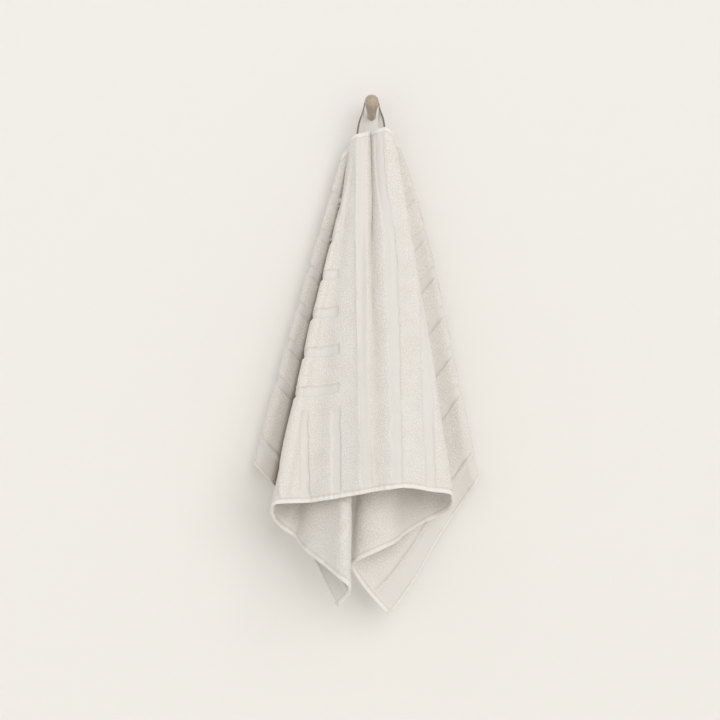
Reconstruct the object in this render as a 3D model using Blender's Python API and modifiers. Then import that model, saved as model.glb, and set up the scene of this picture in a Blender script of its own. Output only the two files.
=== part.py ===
"""Hand towel hung by its loop on a wall peg: one folded terry sheet with woven grooves and hems, a sewn tape loop
and a turned wooden peg. Metres, +Z up, +Y into the wall; the origin is the centre of the peg's wall face."""

import bmesh
import bpy
import numpy as np
from mathutils import Matrix, Vector
from mathutils.geometry import delaunay_2d_cdt

# Towel laid flat: a runs across from the middle of the top hem, b runs down from it
WIDTH = 0.900
DROP = 0.500
THICK = 0.0040
THICK_AT_TOP = 0.0018
THICK_IN_FOLD = 0.0008
FOLD_SHARE = 1.5

# Woven pattern on the outer face
GROOVE_PITCH = 0.046
GROOVE_WIDTH = 0.0125
GROOVE_DEPTH = 0.0015
GROOVE_WALL = 0.0012
GROOVES_A_SIDE = 8
BLOCK_EDGE = 0.0635
BLOCK_FAR_EDGE = 0.1655
BLOCK_TOP = 0.110
BLOCK_FOOT = 0.381
BLOCK_ROW_PITCH = 0.0530
BLOCK_ROW_FIRST = 0.1395
BLOCK_ROWS = 5
HEM_WIDTH = 0.009
HEM_STEP = 0.0008
BORDER_WIDTH = 0.027
RAISED_LINE = 0.007
RAISED_LINE_GROOVE = 0.003

# How it hangs: each half is a cone of straight lines that meet RISE above the end of the loop
HALF_SPAN = 0.0335
RISE = 0.018
LEFT_END = (-0.0214, -0.042, -0.0306)
RIGHT_END = (0.0182, -0.044, -0.0206)
SHIFT_LENGTH = 0.010
SHIFT_DROP = 0.25
LEFT_BOW_AT = 0.090
RIGHT_BOW_AT = 0.170
SAG = 0.9
SAG_FROM = 0.0022
SOFT_FROM = 0.050
SOFT_TO = 0.240
SOFT_SPREAD = 1.0
PLEAT_SHARE_TOP = 0.82
PLEAT_SHARE_FOOT = 1.0
PLEAT_LEAN = -0.12
PLEAT_DEPTH_TOP = 0.80
PLEAT_DEPTH_FOOT = 0.62

# Where the cloth turns, from the middle out to the top edge: the angle from straight down in the flat towel, the
# heading of the cloth there (0 outward, -90 back to the wall, -180 inward), degrees, how far the layer sits
# outward and back from the loop's end, mm, and how much longer the straight line is than in the flat towel (bias
# stretch, or a drawn-in short hem), thousandths, and how far the line bows outward, mm
RIGHT_START = (2.3, 14.4)
RIGHT_FOLDS = (
    # (section, flat angle, heading, outward, back, longer, bow)
    ("middle", 0.0, -25, 0.0, 0.0, 0, 0),
    ("front", 3.8, -25, 4.8, 1.5, 0, 0),
    ("front fold in", 5.3, 3, 6.8, 2.1, 0, 0),
    ("front fold", 7.5, -90, 9.6, 3.0, 0, 0),
    ("front fold out", 9.7, -89, 9.6, 3.5, 0, 0),
    ("flank", 15.0, -104, 9.6, 4.8, 0, 0),
    ("trough", 20.3, -219, 9.4, 6.0, 0, 0),
    ("rise", 25.6, -250, 6.3, 7.3, 0, 0),
    ("crease in", 30.9, -158, 3.1, 8.6, 0, 0),
    ("crease", 32.7, -88, 2.0, 9.0, 0, 0),
    ("crease out", 34.5, -46, 2.7, 9.4, 0, 0),
    ("nest", 38.8, -8, 4.3, 10.5, 17, 1),
    ("nest turn", 43.2, -40, 5.9, 11.5, 8, 4),
    ("back run", 47.5, -19, 7.5, 12.5, -10, 7),
    ("side fold in", 51.9, 24, 9.1, 13.5, -30, 10),
    ("side fold", 53.9, -90, 9.8, 14.0, -36, 11),
    ("side fold out", 55.9, -183, 9.2, 14.4, -36, 11),
    ("back", 63.6, -192, 6.9, 16.0, -20, 7),
    ("inner fold in", 71.3, -189, 4.6, 17.6, 0, 2),
    ("inner fold", 73.3, -90, 4.0, 18.0, 0, 1),
    ("inner fold out", 75.3, 2, 4.5, 19.0, 0, 0),
    ("last", 82.6, 2, 6.2, 22.5, 0, 0),
    ("top edge", 90.0, 1, 7.9, 26.0, 0, 0),
)
LEFT_START = (-0.7, 15.3)
LEFT_FOLDS = (
    # (section, flat angle, heading, outward, back, longer, bow)
    ("middle", 0.0, -35, 0.0, 0.0, 0, 0),
    ("front", 7.3, -34, 2.6, 1.5, 0, -5),
    ("front fold in", 12.4, 62, 4.4, 2.5, 0, -8.5),
    ("front fold", 14.6, -90, 5.2, 3.0, 0, -9.5),
    ("front fold out", 16.8, -90, 5.2, 3.6, 0, -8.5),
    ("flank", 21.1, -126, 5.2, 4.8, 0, -4),
    ("trough", 25.3, -261, 5.2, 6.1, 0, -1),
    ("rise", 29.5, -216, 3.9, 7.3, 0, 0),
    ("crease in", 33.8, -238, 2.6, 8.5, 0, 0),
    ("crease", 35.6, -90, 2.0, 9.0, 0, 0),
    ("crease out", 37.4, -58, 2.6, 9.4, -8, 0),
    ("nest", 42.4, -42, 4.3, 10.4, -20, 0),
    ("nest turn", 47.4, -90, 6.1, 11.5, -22, 0),
    ("back run", 52.4, 13, 7.8, 12.5, -24, 0),
    ("side fold in", 57.4, 21, 9.5, 13.6, -26, 0),
    ("side fold", 59.4, -90, 10.2, 14.0, -26, 0),
    ("side fold out", 61.4, -169, 9.5, 14.5, -26, 0),
    ("back", 68.2, -188, 7.1, 16.0, -14, 0),
    ("inner fold in", 75.0, -199, 4.7, 17.5, 0, 0),
    ("inner fold", 77.0, -90, 4.0, 18.0, 0, 0),
    ("inner fold out", 79.0, 4, 4.6, 19.2, 0, 0),
    ("last", 84.5, 3, 6.4, 22.6, 0, 0),
    ("top edge", 90.0, 6, 8.2, 26.0, 0, 0),
)

# Mesh of the sheet
TURN_A_STEP = 45.0
ANGLE_A_STEP = 5.0
ROWS_DOWN = 10
ROW_CROWDING = 1.6
CENTRE_COLUMNS = 12

# Loop of woven tape
TAPE_WIDTH = 0.0100
TAPE_THICK = 0.0012
TAPE_AT = 0.0275
TAPE_SEWN = 0.012
CLEAR = 0.0004
TAPE_OFF_CLOTH = 0.0010
TAPE_ARC_STEPS = 14
TAPE_STRAND_STEPS = 16

# Peg, distances along its axis from the wall
PEG_TILT = 14.0
PEG_AT_LOOP = 0.041
PEG_BEHIND = 0.010
PEG_NOSE = 0.0085
PEG_NOSE_STEPS = 8
PEG_SIDES = 40
PEG_PROFILE = (
    # (distance, radius)
    (0.000, 0.0063),
    (0.014, 0.0067),
    (0.028, 0.0075),
    (0.040, 0.0084),
    (0.050, 0.0092),
    (0.056, 0.0095),
)

FINE_STEP = 0.125


def smoothstep(x):
    x = np.clip(x, 0.0, 1.0)
    return x * x * (3 - 2 * x)


def running_sum(values, step):
    return np.concatenate([[0.0], np.cumsum((values[1:] + values[:-1]) / 2) * step])


def softened(values):
    """The values along the flat angle, averaged over a bell SOFT_SPREAD degrees wide."""
    reach = int(3 * SOFT_SPREAD / FINE_STEP)
    offsets = np.arange(-reach, reach + 1) * FINE_STEP
    bell = np.exp(-0.5 * (offsets / SOFT_SPREAD) ** 2)
    padded = np.pad(values, reach, mode="reflect", reflect_type="odd")
    return np.convolve(padded, bell / bell.sum(), mode="valid")


def wing_of(side, end, start, bow_at, folds):
    """The cone of one half: its direction (sideways and forward angle) and its layer shift, by flat angle."""
    table = np.array([row[1:] for row in folds])
    angle = np.arange(0.0, 90.0 + FINE_STEP / 2, FINE_STEP)
    heading = np.radians(np.interp(angle, table[:, 0], table[:, 1]))
    step = np.radians(FINE_STEP)
    forward = np.radians(start[1]) + running_sum(np.sin(heading), step)
    sideways = side * (np.radians(start[0]) + running_sum(np.cos(heading) / np.cos(forward), step))
    out, back, longer, bow = (np.interp(angle, table[:, 0], table[:, at]) / 1000 for at in (2, 3, 4, 5))
    down = SHIFT_DROP * back + SAG * np.maximum(out - SAG_FROM, 0.0)
    shift = np.stack([side * out, back, -down], -1)
    return {
        "side": side,
        "apex": np.array(end) + (0.0, 0.0, RISE),
        "angle": angle,
        "sideways": sideways,
        "forward": forward,
        "soft_sideways": softened(sideways),
        "soft_forward": softened(forward),
        "shift": shift,
        "longer": longer,
        "bow": side * bow,
        "bow_at": bow_at,
        "table": table,
    }


WINGS = {
    1: wing_of(1, RIGHT_END, RIGHT_START, RIGHT_BOW_AT, RIGHT_FOLDS),
    -1: wing_of(-1, LEFT_END, LEFT_START, LEFT_BOW_AT, LEFT_FOLDS),
}


def polar(a, b):
    """Distance and flat angle from the point where the straight lines of that half meet."""
    across = np.abs(a) - HALF_SPAN
    down = b + RISE
    return np.hypot(across, down), np.degrees(np.arctan2(across, down))


def on_wing(wing, a, b):
    distance, flat_angle = polar(a, b)

    def at(name):
        return np.interp(flat_angle, wing["angle"], wing[name])

    soft = 1 - smoothstep((distance - SOFT_FROM) / (SOFT_TO - SOFT_FROM))
    sideways = at("sideways") + soft * (at("soft_sideways") - at("sideways"))
    forward = at("forward") + soft * (at("soft_forward") - at("forward"))
    direction = np.stack(
        [np.sin(sideways) * np.cos(forward), -np.sin(forward), -np.cos(sideways) * np.cos(forward)], -1
    )
    shift = np.stack([np.interp(flat_angle, wing["angle"], wing["shift"][:, axis]) for axis in range(3)], -1)
    shifted = (1 - np.exp(-distance / SHIFT_LENGTH))[..., None]
    length = distance * (1 + at("longer"))
    along = distance / wing["bow_at"]
    point = wing["apex"] + shifted * shift + length[..., None] * direction
    point[..., 0] += at("bow") * (along * np.exp(1 - along)) ** 1.5
    return point


def on_centre(a, b):
    """The strip between the loop's ends: straight lines with one pleat back, deepest at the top."""
    left = on_wing(WINGS[-1], np.full_like(a, HALF_SPAN), b)
    right = on_wing(WINGS[1], np.full_like(a, HALF_SPAN), b)
    across = a / HALF_SPAN
    span = right - left
    share = PLEAT_SHARE_TOP + (PLEAT_SHARE_FOOT - PLEAT_SHARE_TOP) * b / DROP
    squeeze = (2 * HALF_SPAN - np.linalg.norm(span, axis=-1)) / (HALF_SPAN * share)
    lean = PLEAT_LEAN * smoothstep(b / DROP)
    half = share * np.where(across > lean, 1 - lean, 1 + lean)
    inside = np.clip((across - lean) / half, -1.0, 1.0)
    lost = half * (inside / 2 + np.sin(np.pi * inside) / (2 * np.pi))
    start = -1 + squeeze * share * (1 + lean) / 2
    place = 2 * (across - squeeze * lost - start) / (2 - squeeze * share) - 1
    depth_share = PLEAT_DEPTH_TOP + (PLEAT_DEPTH_FOOT - PLEAT_DEPTH_TOP) * b / DROP
    depth = depth_share * share * HALF_SPAN * np.sqrt(np.clip(1 - (1 - squeeze / 2) ** 2, 0, 1))
    pleat = depth * np.cos(np.pi / 2 * inside) ** 2
    point = left + span * ((place + 1) / 2)[..., None]
    point[..., 1] += pleat
    return point


def middle_surface(a, b):
    """Where the point (a, b) of the flat towel hangs, half way through the cloth."""
    a, b = np.broadcast_arrays(np.asarray(a, float), np.asarray(b, float))
    point = on_centre(np.clip(a, -HALF_SPAN, HALF_SPAN), b)
    for side, wing in WINGS.items():
        beyond = side * a > HALF_SPAN
        point[beyond] = on_wing(wing, a[beyond], b[beyond])
    return point


def outward(a, b, reach=0.0008):
    """Unit normal on the patterned side, from the points just around (a, b)."""
    along_a = middle_surface(a + reach, b) - middle_surface(a - reach, b)
    along_b = middle_surface(a, b + reach) - middle_surface(a, b - reach)
    normal = np.cross(along_b, along_a)
    return normal / np.linalg.norm(normal, axis=-1, keepdims=True)


def fold_radius(a, b, reach=0.0009):
    """Radius of the circle through three points of the cloth, in the direction square to its straight line."""
    _, flat_angle = polar(np.maximum(np.abs(a), HALF_SPAN), b)
    step_a = np.where(a < 0, -reach, reach) * np.cos(np.radians(flat_angle))
    step_b = -reach * np.sin(np.radians(flat_angle))
    before, here, after = (middle_surface(a + way * step_a, b + way * step_b) for way in (-1, 0, 1))
    one, two = here - before, after - here
    lengths = [np.linalg.norm(side, axis=-1) for side in (one, two, after - before)]
    doubled_area = np.linalg.norm(np.cross(one, two), axis=-1)
    return lengths[0] * lengths[1] * lengths[2] / (2 * np.maximum(doubled_area, 1e-12))


def thickness(a, b):
    """Thinner at the top and where the cloth is pressed into a tight fold."""
    distance, _ = polar(np.maximum(np.abs(a), HALF_SPAN), b)
    loose = THICK_AT_TOP + (THICK - THICK_AT_TOP) * smoothstep((distance - SOFT_FROM) / (SOFT_TO - SOFT_FROM))
    return np.maximum(np.minimum(loose, FOLD_SHARE * fold_radius(a, b)), THICK_IN_FOLD)


def groove_centres():
    """(centre across, first b, last b) of each groove that runs down the towel."""
    rows = []
    for side in (-1, 1):
        for number in range(GROOVES_A_SIDE):
            across = side * GROOVE_PITCH * (number + 0.5)
            in_block = -BLOCK_FAR_EDGE < across < -BLOCK_EDGE
            spans = ((0.0, BLOCK_TOP), (BLOCK_FOOT, DROP)) if in_block else ((0.0, DROP),)
            rows.extend((across, first, last) for first, last in spans)
    return rows


def block_rows():
    """(b of the centre) of each groove that runs across the block at the left."""
    return [BLOCK_ROW_FIRST + BLOCK_ROW_PITCH * number for number in range(BLOCK_ROWS)]


def ramp(value, edge):
    """1 where value is past the edge, 0 a wall's width short of it."""
    return np.clip((value - edge) / GROOVE_WALL + 1, 0, 1)


def sunk(a, b):
    """How far the outer face lies under the pile at (a, b)."""
    depth = np.zeros_like(a)
    for across, first, last in groove_centres():
        inside = ramp(GROOVE_WIDTH / 2 - np.abs(a - across), 0.0)
        ends = np.minimum(ramp(b, first), ramp(last - b, 0.0)) if first > 0 or last < DROP else 1.0
        depth = np.maximum(depth, inside * ends)
    for down in block_rows():
        inside = ramp(GROOVE_WIDTH / 2 - np.abs(b - down), 0.0)
        ends = np.minimum(ramp(-a, BLOCK_EDGE), ramp(a, -BLOCK_FAR_EDGE))
        depth = np.maximum(depth, inside * ends)
    from_side = WIDTH / 2 - np.abs(a)
    line_foot = BORDER_WIDTH + RAISED_LINE
    border = ramp(BORDER_WIDTH - from_side, 0.0)
    beside_line = np.minimum(ramp(from_side, line_foot), ramp(line_foot + RAISED_LINE_GROOVE - from_side, 0.0))
    depth = GROOVE_DEPTH * np.maximum(depth * ramp(from_side, line_foot), np.maximum(border, beside_line))
    hem = ramp(HEM_WIDTH - np.minimum(b, DROP - b), 0.0)
    return np.maximum(depth, HEM_STEP * hem)


def column_angles(wing):
    """Flat angles of the straight lines that the mesh follows: close together where the cloth turns."""
    table = wing["table"]
    angles = [table[0, 0]]
    for (start, turn_start, *_), (end, turn_end, *_) in zip(table[:-1], table[1:]):
        steps = int(np.ceil(max(abs(turn_end - turn_start) / TURN_A_STEP, (end - start) / ANGLE_A_STEP)))
        angles.extend(start + (end - start) * np.arange(1, steps + 1) / steps)
    corner = np.degrees(np.arctan2(WIDTH / 2 - HALF_SPAN, DROP + RISE))
    last = np.degrees(np.arctan2(WIDTH / 2 - HALF_SPAN, RISE))
    nearest = int(np.argmin(np.abs(np.array(angles) - corner)))
    angles[nearest] = corner
    return [angle for angle in angles if angle < last - 0.5]


def line_down(side, flat_angle):
    """Points (a, b) of one straight line, from the top edge to the hem or the short side."""
    sine, cosine = np.sin(np.radians(flat_angle)), np.cos(np.radians(flat_angle))
    first = RISE / cosine
    last = min((DROP + RISE) / cosine, (WIDTH / 2 - HALF_SPAN) / max(sine, 1e-9))
    distance = first + (last - first) * (np.arange(ROWS_DOWN + 1) / ROWS_DOWN) ** ROW_CROWDING
    a = side * (HALF_SPAN + distance * sine)
    b = distance * cosine - RISE
    b[0] = 0.0
    if last * cosine - RISE > DROP - 1e-7:
        b[-1] = DROP
    if HALF_SPAN + last * sine > WIDTH / 2 - 1e-7:
        a[-1] = side * WIDTH / 2
    return np.stack([a, b], -1)


def mesh_lines():
    """Every straight line of the mesh, as (a, b) points from the top edge down."""
    lines = [
        np.stack([np.full(ROWS_DOWN + 1, across), DROP * (np.arange(ROWS_DOWN + 1) / ROWS_DOWN) ** ROW_CROWDING], -1)
        for across in np.linspace(-HALF_SPAN, HALF_SPAN, CENTRE_COLUMNS + 1)[1:-1]
    ]
    for side, wing in WINGS.items():
        lines.extend(line_down(side, angle) for angle in column_angles(wing))
    return lines


def pattern_lines():
    """Ends (a, b) of the lines where the outer face changes height."""
    half = WIDTH / 2
    lines = []
    for across, first, last in groove_centres():
        for reach in (-GROOVE_WIDTH / 2 - GROOVE_WALL, -GROOVE_WIDTH / 2, GROOVE_WIDTH / 2, GROOVE_WIDTH / 2 + GROOVE_WALL):
            lines.append(((across + reach, first), (across + reach, last)))
    for down in block_rows():
        for reach in (-GROOVE_WIDTH / 2 - GROOVE_WALL, -GROOVE_WIDTH / 2, GROOVE_WIDTH / 2, GROOVE_WIDTH / 2 + GROOVE_WALL):
            lines.append(((-BLOCK_FAR_EDGE, down + reach), (-BLOCK_EDGE, down + reach)))
    line_foot = BORDER_WIDTH + RAISED_LINE
    for from_side in (BORDER_WIDTH, BORDER_WIDTH + GROOVE_WALL, line_foot, line_foot + RAISED_LINE_GROOVE):
        for side in (-1, 1):
            lines.append(((side * (half - from_side), 0.0), (side * (half - from_side), DROP)))
    for down in (HEM_WIDTH, HEM_WIDTH + GROOVE_WALL, DROP - HEM_WIDTH - GROOVE_WALL, DROP - HEM_WIDTH):
        lines.append(((-half, down), (half, down)))
    return lines


def perimeter_place(a, b):
    """Distance round the flat towel's edge, from the top left corner; -1 inside."""
    half, near = WIDTH / 2, 1e-6
    place = np.full(a.shape, -1.0)
    place = np.where(np.abs(a + half) < near, 2 * WIDTH + DROP + (DROP - b), place)
    place = np.where(np.abs(b - DROP) < near, WIDTH + DROP + (half - a), place)
    place = np.where(np.abs(a - half) < near, WIDTH + b, place)
    return np.where(np.abs(b) < near, a + half, place)


def triangulated(lines, edge_points=()):
    """Triangles of the flat towel that keep every line as an edge: (points, faces)."""
    points, index, edges = [], {}, []

    def number_of(point):
        key = (round(float(point[0]), 7), round(float(point[1]), 7))
        if key not in index:
            index[key] = len(points)
            points.append(Vector(key))
        return index[key]

    for line in lines:
        numbers = [number_of(point) for point in line]
        edges.extend((first, second) for first, second in zip(numbers[:-1], numbers[1:]) if first != second)
    corners = [number_of((a, b)) for a, b in ((-WIDTH / 2, 0), (WIDTH / 2, 0), (WIDTH / 2, DROP), (-WIDTH / 2, DROP))]
    for point in edge_points:
        number_of(point)
    edges.extend(zip(corners, corners[1:] + corners[:1]))
    found, _, faces, *_ = delaunay_2d_cdt(points, edges, [], 0, 1e-6)
    return np.array([tuple(point) for point in found]), np.array([tuple(face) for face in faces])


def facing(points, faces):
    """The faces with each turned so that it runs the same way round in the flat towel."""
    first, second, third = (points[faces[:, corner]] for corner in range(3))
    area = np.cross(second - first, third - first)
    faces = faces[np.abs(area) > 1e-12]
    area = area[np.abs(area) > 1e-12]
    return np.where((area > 0)[:, None], faces, faces[:, ::-1])


def towel_mesh():
    """(points, faces) of the closed sheet: patterned outer face, plain inner face and the rim that joins them."""
    lines = mesh_lines()
    outer, outer_faces = triangulated(lines + pattern_lines())
    outer_faces = facing(outer, outer_faces)
    place = perimeter_place(outer[:, 0], outer[:, 1])
    rim = np.flatnonzero(place >= 0)
    inner, inner_faces = triangulated(lines, outer[rim])
    inner_faces = facing(inner, inner_faces)
    inner_place = perimeter_place(inner[:, 0], inner[:, 1])
    inner_rim = np.flatnonzero(inner_place >= 0)
    rim = rim[np.argsort(place[rim])]
    inner_rim = inner_rim[np.argsort(inner_place[inner_rim])]
    if len(rim) != len(inner_rim):
        raise ValueError("the two faces of the sheet have different rims")
    base = len(outer)
    a, b = outer.T
    front = middle_surface(a, b) + outward(a, b) * (thickness(a, b) * (0.5 - sunk(a, b) / THICK))[:, None]
    a, b = inner.T
    back = middle_surface(a, b) - outward(a, b) * (thickness(a, b) / 2)[:, None]
    one, two = rim, np.roll(rim, -1)
    three, four = inner_rim + base, np.roll(inner_rim, -1) + base
    rim_faces = np.concatenate([np.stack([one, two, four], -1), np.stack([one, four, three], -1)])
    faces = np.concatenate([outer_faces[:, ::-1], inner_faces + base, rim_faces])
    return np.concatenate([front, back]), faces


def mesh_object(name, points, faces, collection, smooth):
    """A mesh object from arrays, its normals made to point out."""
    mesh = bpy.data.meshes.new(name)
    mesh.from_pydata(points.tolist(), [], faces.tolist())
    shape = bmesh.new()
    shape.from_mesh(mesh)
    bmesh.ops.recalc_face_normals(shape, faces=shape.faces)
    shape.to_mesh(mesh)
    shape.free()
    for polygon in mesh.polygons:
        polygon.use_smooth = smooth
    made = bpy.data.objects.new(name, mesh)
    collection.objects.link(made)
    return made


def peg_axis():
    tilt = np.radians(PEG_TILT)
    return np.array([0.0, -np.cos(tilt), np.sin(tilt)])


def peg_radius(distance):
    table = np.array(PEG_PROFILE)
    return np.interp(distance, table[:, 0], table[:, 1])


def unit(vector):
    return vector / np.linalg.norm(vector)


def strand(side):
    """(points, width directions) of one sewn end of the tape and its strand up to the peg, from the foot up."""
    along = np.linspace(TAPE_SEWN, 0.0, 4)
    edges = []
    for edge in (-0.5, 0.5):
        a = np.full(4, side * TAPE_AT + edge * TAPE_WIDTH)
        off = thickness(a, along) / 2 + TAPE_OFF_CLOTH + TAPE_THICK / 2
        edges.append(middle_surface(a, along) - outward(a, along) * off[:, None])
    sewn = (edges[0] + edges[1]) / 2
    across = unit(edges[1][-1] - edges[0][-1])
    across = across * np.sign(across @ peg_axis())
    up = np.cross(peg_axis(), (1.0, 0.0, 0.0))
    centre = peg_axis() * PEG_AT_LOOP
    radius = peg_radius(PEG_AT_LOOP + TAPE_WIDTH / 2) + CLEAR + TAPE_THICK / 2
    reach = sewn[-1] - centre
    sideways, height = side * reach[0], reach @ up
    touch = np.arctan2(height, sideways) + np.arccos(radius / np.hypot(sideways, height))
    top = centre + radius * (side * np.cos(touch) * np.array([1.0, 0.0, 0.0]) + np.sin(touch) * up)
    share = np.arange(1, TAPE_STRAND_STEPS + 1)[:, None] / TAPE_STRAND_STEPS
    bow = sewn[-1] - sewn[-2]
    free = sewn[-1] + (top - sewn[-1]) * share + bow * share * (1 - share) ** 2
    turned = smoothstep(share)
    widths = [across] * 4 + [unit(row) for row in across * (1 - turned) + peg_axis() * turned]
    return np.concatenate([sewn, free]), np.array(widths), touch


def loop_mesh():
    """(points, faces) of the tape: a flat section carried up one strand, over the peg and down the other."""
    right, right_widths, right_touch = strand(1)
    left, left_widths, left_touch = strand(-1)
    up = np.cross(peg_axis(), (1.0, 0.0, 0.0))
    radius = peg_radius(PEG_AT_LOOP + TAPE_WIDTH / 2) + CLEAR + TAPE_THICK / 2
    turn = np.linspace(right_touch, np.pi - left_touch, TAPE_ARC_STEPS + 1)[1:-1, None]
    arc = peg_axis() * PEG_AT_LOOP + radius * (np.cos(turn) * np.array([1.0, 0.0, 0.0]) + np.sin(turn) * up)
    path = np.concatenate([right, arc, left[::-1]])
    widths = np.concatenate([right_widths, np.tile(peg_axis(), (len(arc), 1)), left_widths[::-1]])
    tangent = np.gradient(path, axis=0)
    tangent /= np.linalg.norm(tangent, axis=1, keepdims=True)
    widths -= (widths * tangent).sum(1, keepdims=True) * tangent
    widths /= np.linalg.norm(widths, axis=1, keepdims=True)
    normals = np.cross(tangent, widths)
    corners = [
        path + widths * TAPE_WIDTH / 2 * w + normals * TAPE_THICK / 2 * n
        for w, n in ((-1, -1), (1, -1), (1, 1), (-1, 1))
    ]
    points = np.stack(corners, 1).reshape(-1, 3)
    faces = []
    for section in range(len(path) - 1):
        for corner in range(4):
            one, two = section * 4 + corner, section * 4 + (corner + 1) % 4
            faces.extend([(one, two, two + 4), (one, two + 4, one + 4)])
    last = 4 * (len(path) - 1)
    faces.extend([(0, 2, 1), (0, 3, 2), (last, last + 1, last + 2), (last, last + 2, last + 3)])
    return points, np.array(faces)


def peg_object(collection, cutters):
    """The peg's outline turned round its axis, tilted, and trimmed flat at the wall."""
    end, radius = PEG_PROFILE[-1]
    turn = np.linspace(90.0, 0.0, PEG_NOSE_STEPS + 1)[:-1]
    outline = [(radius * np.cos(np.radians(t)), end + PEG_NOSE * np.sin(np.radians(t))) for t in turn]
    outline[0] = (0.0, end + PEG_NOSE)
    outline += [(r, distance) for distance, r in reversed(PEG_PROFILE)]
    outline += [(PEG_PROFILE[0][1], -PEG_BEHIND), (0.0, -PEG_BEHIND)]
    mesh = bpy.data.meshes.new("peg")
    edges = [(number, number + 1) for number in range(len(outline) - 1)]
    mesh.from_pydata([(x, 0.0, z) for x, z in outline], edges, [])
    peg = bpy.data.objects.new("peg", mesh)
    collection.objects.link(peg)
    screw = peg.modifiers.new("turned", "SCREW")
    screw.steps = screw.render_steps = PEG_SIDES
    screw.use_merge_vertices = True
    screw.merge_threshold = 1e-5
    screw.use_smooth_shade = True
    peg.rotation_euler = (np.radians(90.0 - PEG_TILT), 0.0, 0.0)
    cutter_mesh = bpy.data.meshes.new("wall_trim")
    shape = bmesh.new()
    bmesh.ops.create_cube(shape, size=0.08, matrix=Matrix.Translation((0.0, 0.04, 0.0)))
    shape.to_mesh(cutter_mesh)
    shape.free()
    cutter = bpy.data.objects.new("wall_trim", cutter_mesh)
    cutter.hide_render = True
    cutter.display_type = "WIRE"
    cutters.objects.link(cutter)
    trim = peg.modifiers.new("wall trim", "BOOLEAN")
    trim.operation = "DIFFERENCE"
    trim.solver = "EXACT"
    trim.object = cutter
    return peg


def linear(hex_colour):
    channels = [int(hex_colour[place : place + 2], 16) / 255 for place in (1, 3, 5)]
    return (*(c / 12.92 if c <= 0.04045 else ((c + 0.055) / 1.055) ** 2.4 for c in channels), 1.0)


def give_material(made, name, hex_colour, roughness):
    material = bpy.data.materials.new(name)
    material.use_nodes = True
    shader = material.node_tree.nodes["Principled BSDF"]
    shader.inputs["Base Color"].default_value = linear(hex_colour)
    shader.inputs["Roughness"].default_value = roughness
    shader.inputs["Metallic"].default_value = 0.0
    made.data.materials.append(material)


def main():
    for old in list(bpy.data.objects):
        bpy.data.objects.remove(old, do_unlink=True)
    whole = bpy.data.collections.new("Towel on wall peg")
    cutters = bpy.data.collections.new("Cutters")
    cutters.hide_render = True
    for collection in (whole, cutters):
        bpy.context.scene.collection.children.link(collection)
    towel = mesh_object("towel", *towel_mesh(), whole, True)
    loop = mesh_object("hanging_loop", *loop_mesh(), whole, False)
    peg = peg_object(whole, cutters)
    give_material(towel, "Cotton terry", "#E9E2D8", 0.95)
    give_material(loop, "Cotton tape", "#D8D3CB", 0.90)
    give_material(peg, "Beech", "#C3AC8E", 0.55)


main()
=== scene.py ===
"""Looks of a sculpted terry hand towel that hangs by its tape loop from a turned wooden wall peg.

Laid out as an add-on: one operator a piece, one for the stage. Metres, +Z up, +Y into the wall.
"""

import bpy
import numpy as np
from bpy.props import FloatProperty, FloatVectorProperty, IntProperty, PointerProperty
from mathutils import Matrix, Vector


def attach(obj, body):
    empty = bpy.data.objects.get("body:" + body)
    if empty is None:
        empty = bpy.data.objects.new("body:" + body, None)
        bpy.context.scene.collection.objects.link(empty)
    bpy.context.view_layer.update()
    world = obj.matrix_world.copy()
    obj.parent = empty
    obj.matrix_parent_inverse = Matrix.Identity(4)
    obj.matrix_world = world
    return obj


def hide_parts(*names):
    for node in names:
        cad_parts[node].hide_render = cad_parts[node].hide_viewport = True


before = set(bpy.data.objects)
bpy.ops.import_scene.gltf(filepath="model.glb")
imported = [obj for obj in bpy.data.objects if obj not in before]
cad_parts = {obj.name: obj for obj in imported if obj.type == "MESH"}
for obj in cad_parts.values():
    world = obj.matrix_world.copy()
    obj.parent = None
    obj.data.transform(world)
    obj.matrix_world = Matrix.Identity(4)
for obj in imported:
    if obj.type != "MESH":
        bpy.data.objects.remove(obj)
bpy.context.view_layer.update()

bl_info = {
    "name": "Hung terry towel",
    "version": (1, 0, 0),
    "blender": (4, 5, 0),
    "location": "3D View > Sidebar > Towel",
    "description": "Builds a folded terry towel, its tape loop and its wall peg",
    "category": "Add Mesh",
}

# Towel laid flat: a runs across from the middle of the top hem, b runs down from it
WIDTH = 0.900
DROP = 0.500
THICK = 0.0040
THICK_AT_TOP = 0.0018
THICK_IN_FOLD = 0.0008
FOLD_SHARE = 1.5

# Woven pattern on the outer face
GROOVE_PITCH = 0.046
GROOVES_A_SIDE = 8
BLOCK_EDGE = 0.0635
BLOCK_FAR_EDGE = 0.1655
BLOCK_TOP = 0.110
BLOCK_FOOT = 0.381
BLOCK_ROW_PITCH = 0.0530
BLOCK_ROW_FIRST = 0.1395
BLOCK_ROWS = 5
BORDER_WIDTH = 0.027
RAISED_LINE = 0.007
RAISED_LINE_GROOVE = 0.003

# How it hangs: each half is a cone of straight lines that meet RISE above the end of the loop
HALF_SPAN = 0.0335
RISE = 0.018
LEFT_END = (-0.0214, -0.042, -0.0306)
RIGHT_END = (0.0182, -0.044, -0.0206)
SHIFT_LENGTH = 0.010
SHIFT_DROP = 0.25
LEFT_BOW_AT = 0.090
RIGHT_BOW_AT = 0.170
SAG = 0.9
SAG_FROM = 0.0022
SOFT_FROM = 0.050
SOFT_TO = 0.240
SOFT_SPREAD = 1.0
PLEAT_SHARE_TOP = 0.82
PLEAT_SHARE_FOOT = 1.0
PLEAT_LEAN = -0.12
PLEAT_DEPTH_TOP = 0.80
PLEAT_DEPTH_FOOT = 0.62
VALLEY_AT = -0.48
VALLEY_MOVES_FROM = 0.07
VALLEY_MOVES_TO = 0.22

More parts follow.
